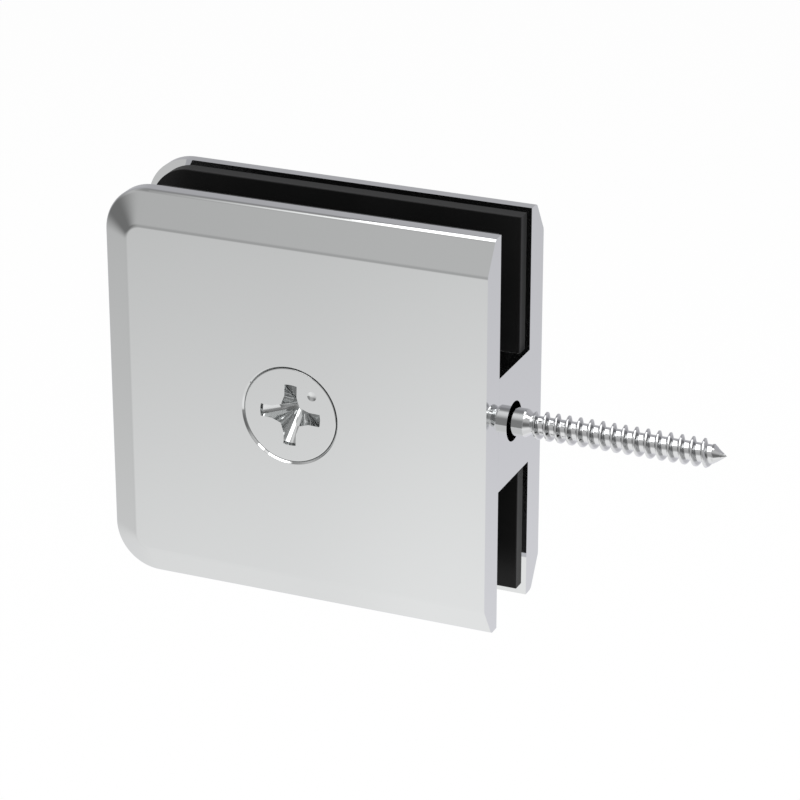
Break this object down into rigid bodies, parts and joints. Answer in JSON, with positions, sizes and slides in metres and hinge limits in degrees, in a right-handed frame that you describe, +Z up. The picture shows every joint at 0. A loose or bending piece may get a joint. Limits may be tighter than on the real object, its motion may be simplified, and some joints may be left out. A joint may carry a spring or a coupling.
{
  "type": "glass panel clamp",
  "caption": "Bevelled square clamp that fixes a glass panel's edge to a wall, with rubber gaskets inside its plates, a countersunk centre screw and a wood screw out of its wall face.",
  "frame": {"origin": "on the wall face, on the axis of the wood screw", "axes": "+X out of the wall face into the wall, along the wood screw; +Y from the front plate to the rear plate; +Z up"},
  "size_m": [0.0775, 0.0182, 0.0508],
  "materials": {
    "plate_chrome": "polished chrome plate",
    "gasket_rubber": "smooth black rubber",
    "screw_chrome": "polished chrome plate",
    "screw_steel": "bright plated steel"
  },
  "bodies": {
    "rear_jaw": {"rear_plate": "plate_chrome", "rear_gasket": "gasket_rubber"},
    "front_jaw": {"front_plate": "plate_chrome", "front_gasket": "gasket_rubber"},
    "centre_screw": {"centre_screw": "screw_chrome"},
    "wood_screw": {"wood_screw": "screw_steel"}
  },
  "joints": [
    {"name": "jaw_slide", "type": "slide", "parent": "rear_jaw", "child": "front_jaw", "axis": [0, -1, 0], "range_m": [0, 0.0025]},
    {"name": "centre_screw_turn", "type": "hinge", "parent": "front_jaw", "child": "centre_screw", "pos_m": [-0.0254, 0, 0], "axis": [0, -1, 0], "range_deg": [0, 709]},
    {"name": "wood_screw_turn", "type": "hinge", "parent": "rear_jaw", "child": "wood_screw", "pos_m": [0, 0, 0], "axis": [1, 0, 0], "continuous": true}
  ],
  "couplings": [
    {"joint": "centre_screw_turn", "follows": "jaw_slide", "rad_per_m": 4947.4}
  ]
}
